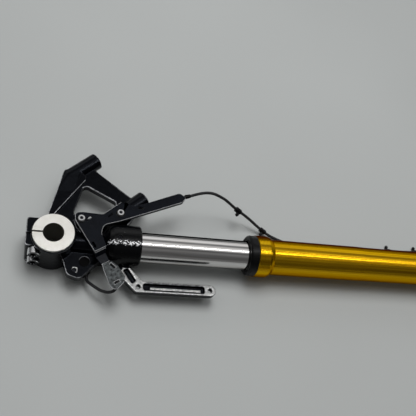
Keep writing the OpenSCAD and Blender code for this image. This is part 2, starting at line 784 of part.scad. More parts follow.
module cable_hank() color("#141416") {
    end_r = hank_w / 2;
    translate([0, 0, rest_z + 0.2]) linear_extrude(hank_h) polygon(outline([
        [hank_x0, hank_y - end_r, end_r - 0.2], [hank_x0 + hank_l, hank_y - end_r, end_r - 0.2],
        [hank_x0 + hank_l, hank_y + end_r, end_r - 0.2], [hank_x0, hank_y + end_r, end_r - 0.2]]));
    translate([hank_x0 + hank_l - end_r, tail_y, lead_z]) rotate([0, 90, 0])
        cylinder(h = tail_l + end_r, r = lead_r);
}

module hank_tie() color("#202024") {
    grip = 1.2;
    mid = hank_x0 + hank_l / 2;
    translate([mid - 3, hank_y - hank_w / 2 - grip, rest_z + 0.2])
        difference() {
            cube([6, hank_w + 2 * grip, hank_h + grip]);
            translate([-1, grip, -1]) cube([8, hank_w, hank_h + 1]);
        }
}

module cable_plug() color("#1a1a1d") {
    nose_l = 9;
    translate([hank_x0 + hank_l + tail_l, tail_y, rest_z + 0.2]) {
        translate([0, -plug_w / 2, 0]) cube([plug_l - nose_l, plug_w, plug_h]);
        translate([plug_l - nose_l - eps, -plug_w / 2 + 1.5, 1.5])
            cube([nose_l + eps, plug_w - 3, plug_h - 3]);
        translate([3, -2.5, plug_h - eps]) cube([plug_l - 6, 5, 1.6 + eps]);
    }
}

fork_bottom();
axle_collar();
pinch_bolts();
inner_tube();
tube_lock_screw();
centre_bolt();
centre_bolt_washer();
cartridge_tube();
base_valve();
rod_guide();
rod_guide_bush();
inner_bush();
lead_guide();
guide_tail();
guide_screws();
guide_posts();
speed_sensor();
sensor_screw();
sensor_lead();
spring_seat();
main_spring();
outer_tube();
dust_seal();
seal_clip();
oil_seal();
seal_washer();
outer_bush();
top_cap();
cap_o_ring();
damper_rod();
damper_piston();
piston_ring();
topout_spring();
rod_lock_nut();
spring_spacer();
spacer_washer();
preload_adjuster();
rebound_adjuster();
needle_rod();
lead_grommet();
sensor_cable();
cable_clips();
cable_hank();
hank_tie();
cable_plug();
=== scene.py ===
import math

import bmesh
import bpy
from mathutils import Matrix, Vector


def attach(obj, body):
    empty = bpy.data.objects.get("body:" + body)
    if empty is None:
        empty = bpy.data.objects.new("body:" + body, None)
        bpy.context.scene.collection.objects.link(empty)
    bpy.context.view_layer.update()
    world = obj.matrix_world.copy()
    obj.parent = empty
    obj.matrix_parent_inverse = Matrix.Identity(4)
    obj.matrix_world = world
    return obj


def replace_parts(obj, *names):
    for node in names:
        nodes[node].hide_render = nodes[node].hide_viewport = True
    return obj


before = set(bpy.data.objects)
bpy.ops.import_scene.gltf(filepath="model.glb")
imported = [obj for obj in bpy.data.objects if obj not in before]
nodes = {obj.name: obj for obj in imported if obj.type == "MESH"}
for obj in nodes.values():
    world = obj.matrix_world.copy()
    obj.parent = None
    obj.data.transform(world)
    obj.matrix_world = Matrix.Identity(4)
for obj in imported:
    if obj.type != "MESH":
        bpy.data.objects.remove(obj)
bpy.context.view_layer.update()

lowerLeg, outerLeg = "lower_leg", "outer_leg"
mm = 0.001
highlightLean = Vector((-0.25, -0.62, 0.74))  # the side the camera looks from: edges that lean this way get painted highlights
fullTurn = 2 * math.pi
mixShare, colourA, colourB, colourOut = 0, 6, 7, 2  # the sockets of a Mix node that blends colours
numberA, numberB = 2, 3  # and of one that blends numbers


# helpers for the materials

def linear(hexText):
    parts = [int(hexText[i:i + 2], 16) / 255 for i in (1, 3, 5)]
    return tuple(c / 12.92 if c <= 0.04045 else ((c + 0.055) / 1.055) ** 2.4 for c in parts) + (1.0,)


def addNode(tree, kind, sockets=None, out=None, **settings):
    # a value in sockets is either another node's output, to link, or a plain value, to set
    node = tree.nodes.new("ShaderNode" + kind)
    for key, value in settings.items():
        setattr(node, key, value)
    for key, value in (sockets or {}).items():
        if isinstance(value, bpy.types.NodeSocket):
            tree.links.new(value, node.inputs[key])
        else:
            node.inputs[key].default_value = value
    return node if out is None else node.outputs[out]


def newMaterial(name, **sockets):
    material = bpy.data.materials.new(name)
    material.use_nodes = True
    tree = material.node_tree
    shader = tree.nodes["Principled BSDF"]
    for key, value in sockets.items():
        shader.inputs[key.replace("_", " ")].default_value = value
    return material, tree, shader


def feed(tree, shader, sockets):
    for key, value in sockets.items():
        tree.links.new(value, shader.inputs[key])


def surfaceGrain(tree, size, detail=3.0, stretch=(1, 1, 1)):
    # size is the grain's real width, and a stretch below 1 draws it out along that axis
    place = addNode(tree, "TexCoord", out="Object")
    drawn = addNode(tree, "VectorMath", {0: place, 1: stretch}, out=0, operation="MULTIPLY")
    return addNode(tree, "TexNoise", {"Vector": drawn, "Scale": 1 / size, "Detail": detail}, out="Fac")


def placeParts(tree):
    # where a point lies on its piece, in metres along X, Y and Z
    return addNode(tree, "SeparateXYZ", {0: addNode(tree, "TexCoord", out="Object")}).outputs


def relieved(tree, shader, height, dent):
    # dents of this real depth, laid over any that the finish has already
    sockets = {"Height": height, "Distance": dent, "Strength": 1.0}
    if shader.inputs["Normal"].is_linked:
        sockets["Normal"] = shader.inputs["Normal"].links[0].from_socket
    feed(tree, shader, {"Normal": addNode(tree, "Bump", sockets, out="Normal")})


grainSwing = {"From Min": 0.3, "From Max": 0.7}  # a noise's usual range


def grained(tree, shader, grain, dark, light, smooth, rough, dent, clouds=None):
    # gloss and small dents follow one grain, and so does the colour unless it has clouds of its own
    colour = addNode(tree, "Mix", {mixShare: clouds or grain, colourA: linear(dark), colourB: linear(light)},
                     out=colourOut, data_type="RGBA")
    gloss = addNode(tree, "MapRange", {"Value": grain, **grainSwing, "To Min": smooth, "To Max": rough},
                    out="Result")
    feed(tree, shader, {"Base Color": colour, "Roughness": gloss})
    relieved(tree, shader, grain, dent)


# materials

paintFacts = {"dark": "#020203", "light": "#07080b", "highlightAndFlake": "#e4e6ea", "sheen": "#dbe4f6", "smooth": 0.1,
              "rough": 0.22,
              "grit": 1.1 * mm, "gritDeep": 0.07 * mm, "swell": 9 * mm, "swellDeep": 0.35 * mm,
              "highlightPatch": 4 * mm, "leastHighlight": 0.15, "highlightAndFlakeRough": 0.3, "highlightAndFlakeMetal": 0.15}


def makeCastingPaint():
    # gloss black enamel brushed over a sand casting: the skin's grit breaks its highlights. Its convex edges
    # that lean towards the camera are painted pale in patches, as painted highlights
    facts = paintFacts
    material, tree, shader = newMaterial("castingPaint", Specular_IOR_Level=0.15,
                                         Specular_Tint=linear(facts["sheen"]))
    grit = surfaceGrain(tree, facts["grit"], 4.0)
    swell = surfaceGrain(tree, facts["swell"], 2.0)
    # the patches break the painted edge highlight up
    patches = addNode(tree, "MapRange", {"Value": surfaceGrain(tree, facts["highlightPatch"]), **grainSwing,
                                         "To Min": facts["leastHighlight"]}, out="Result")
    edgeHighlight = addNode(tree, "Attribute", out="Fac", attribute_name="edgeHighlight")
    highlightAndFlake = addNode(tree, "Math", {0: edgeHighlight, 1: patches}, out=0, operation="MULTIPLY")
    paint = addNode(tree, "Mix", {mixShare: swell, colourA: linear(facts["dark"]),
                                  colourB: linear(facts["light"])}, out=colourOut,
                    data_type="RGBA")
    gloss = addNode(tree, "MapRange", {"Value": grit, **grainSwing, "To Min": facts["smooth"],
                                       "To Max": facts["rough"]}, out="Result")
    colour = addNode(tree, "Mix", {mixShare: highlightAndFlake, colourA: paint, colourB: linear(facts["highlightAndFlake"])},
                     out=colourOut, data_type="RGBA")
    feed(tree, shader, {
        "Base Color": colour,
        "Roughness": addNode(tree, "Mix", {mixShare: highlightAndFlake, numberA: gloss, numberB: facts["highlightAndFlakeRough"]},
                             out=0),
        "Metallic": addNode(tree, "Math", {0: highlightAndFlake, 1: facts["highlightAndFlakeMetal"]}, out=0, operation="MULTIPLY")})
    relieved(tree, shader, swell, facts["swellDeep"])
    relieved(tree, shader, grit, facts["gritDeep"])
    return material


skinFacts = {"dark": "#020203", "light": "#08090b", "highlightAndFlake": "#f2f3f5", "smooth": 0.08, "rough": 0.18,
             "flake": 2.1 * mm, "flakeDeep": 0.25 * mm, "fine": 0.7 * mm, "fineDeep": 0.05 * mm,
             "highlightBandMiddle": math.radians(106), "highlightBandHalf": math.radians(15), "highlightBandShare": 0.27,
             "flaked": (0.74, 0.79), "highlightAndFlakeRough": 0.3, "highlightAndFlakeMetal": 0.3}


def makeGritPaint():
    # the same enamel over the socket's rougher skin: it has flaked to bright metal in specks, and more pale
    # specks are laid in a band along the side that faces up, where the strip's highlight falls: partly real
    # flaking, partly painted highlight
    facts = skinFacts
    material, tree, shader = newMaterial("gritPaint", Specular_IOR_Level=0.2)
    place = placeParts(tree)
    # the band lies round the socket at the angle of the strip's highlight
    turn = addNode(tree, "Math", {0: place["Z"], 1: place["Y"]}, out=0, operation="ARCTAN2")
    away = addNode(tree, "Math", {0: turn, 1: facts["highlightBandMiddle"]}, out=0, operation="SUBTRACT")
    fromHighlightBand = addNode(tree, "Math", {0: away}, out=0, operation="ABSOLUTE")
    highlightBand = addNode(tree, "MapRange", {"Value": fromHighlightBand, "From Min": 0.0, "From Max": facts["highlightBandHalf"],
                                      "To Min": facts["highlightBandShare"], "To Max": 0.0}, out="Result",
                   interpolation_type="SMOOTHSTEP")
    flakes = surfaceGrain(tree, facts["flake"], 5.0)
    chance = addNode(tree, "Math", {0: flakes, 1: highlightBand}, out=0, operation="ADD")
    least, most = facts["flaked"]
    highlightAndFlake = addNode(tree, "MapRange", {"Value": chance, "From Min": least, "From Max": most}, out="Result")
    fine = surfaceGrain(tree, facts["fine"], 4.0)
    paint = addNode(tree, "Mix", {mixShare: fine, colourA: linear(facts["dark"]),
                                  colourB: linear(facts["light"])}, out=colourOut,
                    data_type="RGBA")
    gloss = addNode(tree, "MapRange", {"Value": fine, **grainSwing, "To Min": facts["smooth"],
                                       "To Max": facts["rough"]}, out="Result")
    colour = addNode(tree, "Mix", {mixShare: highlightAndFlake, colourA: paint, colourB: linear(facts["highlightAndFlake"])},
                     out=colourOut, data_type="RGBA")
    feed(tree, shader, {
        "Base Color": colour,
        "Roughness": addNode(tree, "Mix", {mixShare: highlightAndFlake, numberA: gloss, numberB: facts["highlightAndFlakeRough"]},
                             out=0),
        "Metallic": addNode(tree, "Math", {0: highlightAndFlake, 1: facts["highlightAndFlakeMetal"]}, out=0, operation="MULTIPLY")})
    relieved(tree, shader, flakes, facts["flakeDeep"])
    relieved(tree, shader, fine, facts["fineDeep"])
    return material


def makeMachinedRim():
    # cast aluminium milled bright after painting: pale, with fine marks along the cutter's path
    material, tree, shader = newMaterial("machinedRim", Metallic=1.0)
    grained(tree, shader, surfaceGrain(tree, 0.5 * mm, 3.0, (0.25, 1, 1)), "#4a4c50", "#f2f2f0", 0.22, 0.42,
            0.02 * mm,
            surfaceGrain(tree, 5 * mm))
    return material


turningFacts = {"ring": 0.9 * mm, "ringDeep": 0.012 * mm, "stain": 5 * mm, "stainDeep": 0.05 * mm}


def makeTurnedAluminium():
    # aluminium faced on a lathe: rings about the axle catch the light as a soft sweep, under faint stains
    material, tree, shader = newMaterial("turnedAluminium", Metallic=0.9)
    flat = addNode(tree, "VectorMath", {0: addNode(tree, "TexCoord", out="Object"), 1: (1, 1, 0)}, out=0,
                   operation="MULTIPLY")
    across = addNode(tree, "VectorMath", {0: flat}, out="Value", operation="LENGTH")
    turns = addNode(tree, "Math", {0: across, 1: fullTurn / turningFacts["ring"]}, out=0,
                    operation="MULTIPLY")
    relieved(tree, shader, addNode(tree, "Math", {0: turns}, out=0, operation="SINE"),
             turningFacts["ringDeep"])
    grained(tree, shader, surfaceGrain(tree, turningFacts["stain"], 4.0), "#f2efe6", "#fffefa", 0.34, 0.46,
            turningFacts["stainDeep"])
    return material


tubeRadii = {"inner_tube": 21.5 * mm, "outer_tube": 26.5 * mm}
farShadeEdge = (0.42, 0.66)  # where the painted shade starts and is full, as shares of the tube's radius


def farSideShade(tree, shader, shadeColour, radius):
    # painted shade: the side away from the camera is darkened in colour and in reflection tint, so its far
    # edge reflects dark
    start, full = farShadeEdge
    share = addNode(tree, "MapRange", {"Value": placeParts(tree)["Y"], "From Min": start * radius,
                                       "From Max": full * radius}, out="Result")
    clean = shader.inputs["Base Color"].links[0].from_socket
    colour = addNode(tree, "Mix", {mixShare: share, colourA: clean, colourB: linear(shadeColour)}, out=colourOut,
                     data_type="RGBA")
    feed(tree, shader, {"Base Color": colour, "Specular Tint": colour})


def makeHardChrome():
    # steel tube ground and hard chromed: a mirror with faint brownish wipe marks drawn out along it
    material, tree, shader = newMaterial("hardChrome", Metallic=1.0)
    wipes = surfaceGrain(tree, 2.2 * mm, 4.0, (0.04, 1, 1))
    grained(tree, shader, wipes, "#c9c3bd", "#f1f2f4", 0.05, 0.11, 0.01 * mm)
    # painted shade darkens its reflection along the far side
    farSideShade(tree, shader, "#48494b", tubeRadii["inner_tube"])
    return material


goldFacts = {"dark": "#c08c0c", "light": "#f2c222", "farShadeAndRings": "#84600b", "smooth": 0.21, "rough": 0.27,
             "cloud": 14 * mm, "streak": 3.2 * mm, "streakDrawn": 0.006, "streakDeep": 0.35 * mm,
             "ring": 2.3 * mm, "ringDeep": 0.045 * mm, "ringDark": 0.35, "collarEnd": (0.313, 0.3155),
             "ringsLeft": 0.15}


def makeGoldAnodise():
    # gold anodising over drawn and turned aluminium: long streaks spread its highlight along the tube, and
    # lathe rings run round the collar. Both are drawn wider than real so that they show
    facts = goldFacts
    material, tree, shader = newMaterial("goldAnodise", Metallic=1.0)
    clouds = surfaceGrain(tree, facts["cloud"], 3.0, (0.3, 1, 1))
    streaks = surfaceGrain(tree, facts["streak"], 3.0, (facts["streakDrawn"], 1, 1))
    tone = addNode(tree, "MapRange", {"Value": streaks, **grainSwing}, out="Result")
    grained(tree, shader, clouds, facts["dark"], facts["light"], facts["smooth"], facts["rough"], 0.0, tone)
    # painted shade darkens its reflection along the far side
    farSideShade(tree, shader, facts["farShadeAndRings"], tubeRadii["outer_tube"])
    relieved(tree, shader, streaks, facts["streakDeep"])
    along = placeParts(tree)["X"]
    turns = addNode(tree, "Math", {0: along, 1: fullTurn / facts["ring"]}, out=0, operation="MULTIPLY")
    wave = addNode(tree, "Math", {0: turns}, out=0, operation="SINE")
    start, end = facts["collarEnd"]
    collar = addNode(tree, "MapRange", {"Value": along, "From Min": start, "From Max": end, "To Min": 1.0,
                                        "To Max": facts["ringsLeft"]}, out="Result")
    rings = addNode(tree, "Math", {0: wave, 1: collar}, out=0, operation="MULTIPLY")
    relieved(tree, shader, rings, facts["ringDeep"])
    # every other side of a ring holds a little more dye
    dyed = addNode(tree, "Math", {0: rings, 1: facts["ringDark"]}, out=0, operation="MULTIPLY",
                   use_clamp=True)
    clean = shader.inputs["Base Color"].links[0].from_socket
    colour = addNode(tree, "Mix", {mixShare: dyed, colourA: clean, colourB: linear(facts["farShadeAndRings"])},
                     out=colourOut, data_type="RGBA")
    feed(tree, shader, {"Base Color": colour})
    return material


def makeRubber(name, dark, light, size, specular=0.2):
    # moulded black rubber or plastic: a soft sheen, with a little dust in its pores
    material, tree, shader = newMaterial(name, Specular_IOR_Level=specular)
    grained(tree, shader, surfaceGrain(tree, size, 4.0), dark, light, 0.28, 0.42, 0.03 * mm)
    return material


def makeJacket():
    # extruded lead jacket of soft plastic: matt, with slow waves along it
    material, tree, shader = newMaterial("leadJacket")
    grained(tree, shader, surfaceGrain(tree, 0.35 * mm), "#111113", "#222326", 0.44, 0.6, 0.03 * mm,
            surfaceGrain(tree, 6 * mm))
    return material


def makeGuidePlastic():
    # glass-filled nylon moulding, satin blue-black: a fine spark-eroded grain keeps its face even
    material, tree, shader = newMaterial("guidePlastic", Specular_IOR_Level=0.12)
    grained(tree, shader, surfaceGrain(tree, 0.45 * mm, 4.0), "#06080d", "#0f131b", 0.24, 0.38, 0.035 * mm,
            surfaceGrain(tree, 12 * mm))
    return material


def makeGuideSheet():
    # bent steel tail plate, its thin black coat scuffed through in clouds: grey over black
    material, tree, shader = newMaterial("guideSheet", Metallic=0.2, Specular_IOR_Level=0.3)
    scuffs = surfaceGrain(tree, 4 * mm, 6.0)
    worn = addNode(tree, "MapRange", {"Value": scuffs, "From Min": 0.33, "From Max": 0.67}, out="Result")
    fine = surfaceGrain(tree, 0.6 * mm, 4.0)
    grained(tree, shader, fine, "#191b1c", "#5d6263", 0.28, 0.46, 0.01 * mm, worn)
    relieved(tree, shader, scuffs, 0.06 * mm)
    return material


def makeMetal(name, dark, light, smooth, rough, size, stretch=(1, 1, 1), metal=1.0):
    # plain machined metal: the grain follows how the part was worked
    material, tree, shader = newMaterial(name, Metallic=metal)
    grained(tree, shader, surfaceGrain(tree, size, 4.0, stretch), dark, light, smooth, rough, 0.02 * mm)
    return material


castingPaint = makeCastingPaint()
gritPaint = makeGritPaint()
machinedRim = makeMachinedRim()
guidePlastic = makeGuidePlastic()
leadJacket = makeJacket()
# nitrile rubber, nearly black
sealRubber = makeRubber("sealRubber", "#030304", "#0b0b0c", 0.8 * mm)
# moulded nylon, black with a soft sheen
clipPlastic = makeRubber("clipPlastic", "#050506", "#121214", 0.6 * mm)
# the sensor's potted end, dull and deep in its bore
sensorBody = makeRubber("sensorBody", "#010101", "#050506", 0.8 * mm, 0.05)
# filled PTFE band, dull brown
ptfeBand = makeRubber("ptfeBand", "#2c241b", "#40362a", 0.8 * mm)
# painted highlight on black-coated edges: pale, and broken up in clouds
paintedEdgeHighlight = makeMetal("paintedEdgeHighlight", "#2b2d31", "#f0f1f3", 0.25, 0.4, 2.5 * mm, metal=0.15)
# bright zinc on steel screws, slightly clouded
zincPlate = makeMetal("zincPlate", "#cfd1d3", "#ececeb", 0.26, 0.38, 5 * mm)
# sintered bronze, dull brown
bronze = makeMetal("bearingBronze", "#7c6238", "#a88a58", 0.3, 0.5, 1.2 * mm)
# shot-peened spring steel, an even grey
springSteel = makeMetal("springSteel", "#7d8085", "#a9abae", 0.3, 0.45, 0.6 * mm)
# turned aluminium, its fine grain running round
plainAluminium = makeMetal("plainAluminium", "#a9abad", "#cfd0d1", 0.24, 0.4, 0.5 * mm, (1, 0.2, 0.2))
# the axle bore's wall, darker and duller than the collar's faces
boreSteel = makeMetal("boreSteel", "#55524b", "#7f7b72", 0.4, 0.6, 0.6 * mm, (1, 1, 0.2), 0.35)
# blackened steel, oily
blackOxide = makeMetal("blackOxide", "#1c1c1f", "#34353a", 0.28, 0.45, 0.8 * mm)
# plated steel bolts, bright enough to mirror the room
polishedSteel = makeMetal("polishedSteel", "#d4d5d8", "#f6f6f7", 0.09, 0.16, 1.5 * mm)
# annealed copper, warm and soft
softCopper = makeMetal("softCopper", "#9c5a34", "#c98255", 0.25, 0.4, 1.5 * mm)
# turned aluminium, anodised black, gold and red: the dye is clear, so the turning shows
blackAnodise = makeMetal("blackAnodise", "#141416", "#26272b", 0.3, 0.42, 0.5 * mm, (1, 0.3, 0.3))
goldAdjuster = makeMetal("goldAdjuster", "#d2930c", "#efb21c", 0.26, 0.36, 0.5 * mm)
redAdjuster = makeMetal("redAdjuster", "#8a1c14", "#b4382c", 0.26, 0.36, 0.5 * mm)
# ground and polished steel rod
polishedRod = makeMetal("polishedRod", "#cfd1d4", "#e8e9ea", 0.06, 0.12, 1.2 * mm, (0.1, 1, 1))
finishes = {
    "fork_bottom": castingPaint, "axle_collar": makeTurnedAluminium(), "pinch_bolts": polishedSteel,
    "guide_screws": zincPlate, "sensor_screw": blackOxide, "inner_tube": makeHardChrome(),
    "tube_lock_screw": blackOxide, "centre_bolt": blackOxide, "rod_lock_nut": blackOxide,
    "centre_bolt_washer": softCopper, "cartridge_tube": plainAluminium, "rod_guide": plainAluminium,
    "spring_spacer": plainAluminium, "spacer_washer": plainAluminium, "guide_posts": blackOxide,
    "base_valve": bronze, "rod_guide_bush": bronze, "inner_bush": bronze, "outer_bush": bronze,
    "damper_piston": bronze, "lead_guide": guidePlastic, "spring_seat": guidePlastic,
    "guide_tail": makeGuideSheet(), "speed_sensor": sensorBody, "cable_plug": clipPlastic,
    "cable_clips": clipPlastic, "hank_tie": clipPlastic, "sensor_lead": leadJacket,
    "sensor_cable": leadJacket, "cable_hank": leadJacket, "lead_grommet": sealRubber,
    "main_spring": springSteel, "topout_spring": springSteel, "seal_clip": springSteel,
    "seal_washer": springSteel, "needle_rod": springSteel, "outer_tube": makeGoldAnodise(),
    "dust_seal": sealRubber, "oil_seal": sealRubber, "cap_o_ring": sealRubber, "top_cap": blackAnodise,
    "preload_adjuster": goldAdjuster, "rebound_adjuster": redAdjuster, "damper_rod": polishedRod,
    "piston_ring": ptfeBand}
print("materials made")


# helpers for the meshes

def smoothShaded(mesh, angle=32):
    for polygon in mesh.polygons:
        polygon.use_smooth = True
    mesh.set_sharp_from_angle(angle=math.radians(angle))


def newObject(name, mesh, material, body):
    obj = bpy.data.objects.new(name, mesh)
    bpy.context.scene.collection.objects.link(obj)
    mesh.materials.clear()
    mesh.materials.append(material)
    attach(obj, body)
    return obj


def newPiece(name, shape, material, body, angle=32):
    # shape is a function that models the piece in an empty bmesh
    work = bmesh.new()
    shape(work)
    bmesh.ops.recalc_face_normals(work, faces=work.faces)
    mesh = bpy.data.meshes.new(name)
    work.to_mesh(mesh)
    work.free()
    piece = newObject(name, mesh, material, body)
    smoothShaded(mesh, angle)
    return piece


cadSeam, cadFlat = 0.004 * mm, math.radians(0.6)  # corners this near are one, and faces this level are one


def mergedCopy(node, name):
    mesh = nodes[node].data.copy()
    mesh.name = name
    work = bmesh.new()
    work.from_mesh(mesh)
    bmesh.ops.remove_doubles(work, verts=work.verts, dist=cadSeam)
    bmesh.ops.dissolve_limit(work, angle_limit=cadFlat, verts=work.verts, edges=work.edges)
    work.to_mesh(mesh)
    work.free()
    mesh.materials.clear()
    return mesh


def bakeModifiers(obj):
    bpy.context.view_layer.update()
    baked = bpy.data.meshes.new_from_object(obj.evaluated_get(bpy.context.evaluated_depsgraph_get()))
    obj.modifiers.clear()
    obj.data = baked


def drawnOut(work, edges, moves):
    # a ring of edges is extruded once for each move, and the last ring is closed
    for move in moves:
        grown = bmesh.ops.extrude_edge_only(work, edges=edges)["geom"]
        bmesh.ops.transform(work, matrix=move, verts=[g for g in grown if isinstance(g, bmesh.types.BMVert)])
        edges = [g for g in grown if isinstance(g, bmesh.types.BMEdge) and g.is_boundary]
    bmesh.ops.holes_fill(work, edges=edges, sides=len(edges))


def spun(work, profile, place, turn, steps=48, sweep=fullTurn, closed=True):
    # a profile of radius and height is spun about the turned z axis
    verts = [work.verts.new(place + turn @ Vector((r, 0, h))) for r, h in profile]
    edges = [work.edges.new(pair) for pair in zip(verts, verts[1:] + verts[:1] * closed)]
    bmesh.ops.spin(work, geom=verts + edges, cent=place, axis=turn @ Vector((0, 0, 1)), dvec=(0, 0, 0),
                   angle=sweep,
                   steps=steps, use_merge=sweep == fullTurn, use_duplicate=False)


def uprightFrame(point, along):
    side = Vector((0, 0, 1)).cross(along).normalized()
    return Matrix.Translation(point) @ Matrix((side, along.cross(side), along)).transposed().to_4x4()


def sweptRound(work, points, radius, sides):
    ends = [points[0]] + list(points) + [points[-1]]
    frames = [uprightFrame(ends[i], (ends[i + 1] - ends[i - 1]).normalized())
              for i in range(1, len(ends) - 1)]
    ring = bmesh.ops.create_circle(work, cap_ends=True, radius=radius, segments=sides,
                                   matrix=frames[0])["verts"]
    edges = list(dict.fromkeys(e for v in ring for e in v.link_edges))
    drawnOut(work, edges, [b @ a.inverted() for a, b in zip(frames, frames[1:])])


def smoothRun(points, step):
    # a curve through every point, by the usual cubic between neighbours
    run = []
    for i in range(len(points) - 1):
        a, b = Vector(points[max(i - 1, 0)]), Vector(points[i])
        c, d = Vector(points[i + 1]), Vector(points[min(i + 2, len(points) - 1)])
        for k in range(step):
            t = k / step
            run.append(b + (c - a) * t / 2 + (2 * a - 5 * b + 4 * c - d) * t * t / 2
                       + (3 * b - a - 3 * c + d) * t ** 3 / 2)
    run.append(Vector(points[-1]))
    return run


# every CAD node starts from its finish

for nodeName, finish in finishes.items():
    nodes[nodeName].data.materials.clear()
    nodes[nodeName].data.materials.append(finish)
    smoothShaded(nodes[nodeName].data)
print("CAD nodes finished")


# fork bottom

castFacts = {"voxel": 0.7 * mm, "smoothing": 3, "share": 0.42,
             "rib": ((0.138, -0.0602, -0.0125), (0.212, -0.0564, -0.0084)),
             "bossRadius": 12.4 * mm, "bossMiddle": (0.055, 0.138, 0), "bossAlong": (0.743, 0.669, 0),
             "blendRun": (0.036, 0.053), "flank": ((0.0088, 0.109), (0.0004, 0.073), (0.0225, 0.074)),
             "flankTop": 9.7 * mm}
# where the painted edge highlights are laid, and where they are weakened
edgeHighlightFacts = {"bend": (0.09, 0.21), "lean": (0.45, 0.75), "windowPoint": (0.025, 0.042),
             "windowLean": (0.962, 0.272),
             "windowReach": 4 * mm, "windowRun": (0.042, 0.086), "windowTop": 6.5 * mm, "windowShare": 0.1,
             "clampRadius": 0.034, "clampTop": 0.018, "clampShare": 0.15}
# low corner, high corner and share of the full painted edge highlight: the long boss, the sensor lug's far
# flank, then the front edges of the flank and of the lug, which get the brightest painted highlights
highlightPlaces = (((-0.04, 0.098, -0.04), (0.13, 0.15, 0.04), 0.15),
             ((0.041, -0.056, -0.04), (0.072, -0.022, 0.04), 0.15),
             ((-0.04, 0.024, 7 * mm), (0.007, 0.098, 0.04), 2.2),
             ((-0.04, -0.05, -1.5 * mm), (0.025, -0.012, 1.5 * mm), 2.0))
bareFacts = {"screwPlace": (0.032, -0.041), "spotFace": (2.9 * mm, 5.2 * mm), "spotDeep": 0.5 * mm,
             "spotHighlightCut": (0.6, 0.0065), "armTop": -5 * mm, "armFrom": (0.097, -0.031), "below": 0.35 * mm,
             "above": 0.3 * mm, "level": 0.75, "ribFrom": 0.13, "rail": ((0.131, -0.0530), (0.215, -0.0508)),
             "socketStart": 0.072, "socketSkin": (22 * mm, 30.6 * mm)}


def between(value, low, high):
    return min(max((value - low) / (high - low), 0), 1)


def highlightShareAt(c):
    facts = edgeHighlightFacts
    (x, y), (leanX, leanY), (start, end) = (facts[key] for key in ("windowPoint", "windowLean", "windowRun"))
    fromWindow = abs((c.x - x) * leanX - (c.y - y) * leanY)
    if fromWindow < facts["windowReach"] and start < c.y < end and c.z < facts["windowTop"]:
        return facts["windowShare"]
    if math.hypot(c.x, c.y) < facts["clampRadius"] and c.z > facts["clampTop"]:
        return facts["clampShare"]
    for low, high, share in highlightPlaces:
        if all(low[i] < c[i] < high[i] for i in range(3)):
            return share
    return 1.0


def markPaintedHighlights(mesh):
    # convex edges that lean towards the camera are marked for the paint to read, as painted highlights
    work = bmesh.new()
    work.from_mesh(mesh)
    work.normal_update()
    values = []
    for v in work.verts:
        angles = [e.calc_face_angle_signed(0) for e in v.link_edges]
        bend = between(sum(angles) / max(len(angles), 1), *edgeHighlightFacts["bend"])
        values.append(bend * between(v.normal.dot(highlightLean), *edgeHighlightFacts["lean"]) * highlightShareAt(v.co))
    work.free()
    attribute = mesh.attributes.new("edgeHighlight", "FLOAT", "POINT")
    attribute.data.foreach_set("value", values)


def addRibAndBlend(mesh):
    work = bmesh.new()
    work.from_mesh(mesh)
    # a low rib along the floor of the arm's pocket
    low, high = (Vector(corner) for corner in castFacts["rib"])
    bmesh.ops.create_cube(work, size=1,
                          matrix=Matrix.Translation((low + high) / 2) @ Matrix.Diagonal(high - low).to_4x4())
    # the long boss runs down smoothly into the raised flank
    middle, along, up = Vector(castFacts["bossMiddle"]), Vector(castFacts["bossAlong"]), Vector((0, 0, 1))
    turn = Matrix((up.cross(along), up, along)).transposed().to_4x4()
    hull = []
    for s in castFacts["blendRun"]:
        hull += bmesh.ops.create_circle(work, radius=castFacts["bossRadius"], segments=24,
                                        matrix=Matrix.Translation(middle - along * s) @ turn)["verts"]
    hull += [work.verts.new((x, y, z)) for x, y in castFacts["flank"] for z in (0, castFacts["flankTop"])]
    bmesh.ops.convex_hull(work, input=hull)
    work.to_mesh(mesh)
    work.free()


paintedZone, grittyZone, milledZone = range(3)


def castingZone(polygon):
    facts = bareFacts
    c = polygon.center
    (inner, outer), (x, y), (slope, cut) = (facts[key] for key in ("spotFace", "screwPlace", "spotHighlightCut"))
    onSpot = inner < math.hypot(c.x - x, c.y - y) < outer and abs(c.z) < facts["spotDeep"]
    # the milled spot face is bright only past this line: that one-sided brightness is a painted highlight
    if onSpot and c.x + slope * c.y > cut:
        return milledZone
    ribTop = castFacts["rib"][1][2]
    onRim = -facts["below"] < c.z - facts["armTop"] < facts["above"]
    onRib = abs(c.z - ribTop) < facts["above"] and c.x > facts["ribFrom"]
    low, high = facts["rail"]
    onRail = low[0] < c.x < high[0] and low[1] < c.y < high[1]
    onArm = c.x > facts["armFrom"][0] and c.y < facts["armFrom"][1] and polygon.normal.z > facts["level"]
    if (onRim or onRib) and onArm and not onRail:
        return milledZone
    low, high = facts["socketSkin"]
    inSkin = c.x > facts["socketStart"] and low < math.hypot(c.y, c.z) < high
    return grittyZone if inSkin else paintedZone


def makeForkBottom():
    mesh = mergedCopy("fork_bottom", "forkCasting")
    addRibAndBlend(mesh)
    casting = newObject("forkCasting", mesh, castingPaint, lowerLeg)
    remesh = casting.modifiers.new("skin", "REMESH")
    remesh.mode = "VOXEL"
    remesh.voxel_size = castFacts["voxel"]
    soften = casting.modifiers.new("fillets", "SMOOTH")
    soften.factor = 0.5
    soften.iterations = castFacts["smoothing"]
    casting.modifiers.new("share", "DECIMATE").ratio = castFacts["share"]
    bakeModifiers(casting)
    mesh = casting.data
    mesh.materials.clear()
    for material in (castingPaint, gritPaint, machinedRim):  # in the order of the zones
        mesh.materials.append(material)
    markPaintedHighlights(mesh)
    for polygon in mesh.polygons:
        polygon.use_smooth = True
        polygon.material_index = castingZone(polygon)
    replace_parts(casting, "fork_bottom")
    print("fork casting", len(mesh.polygons))


makeForkBottom()


# machined and moulded pieces with their edges broken

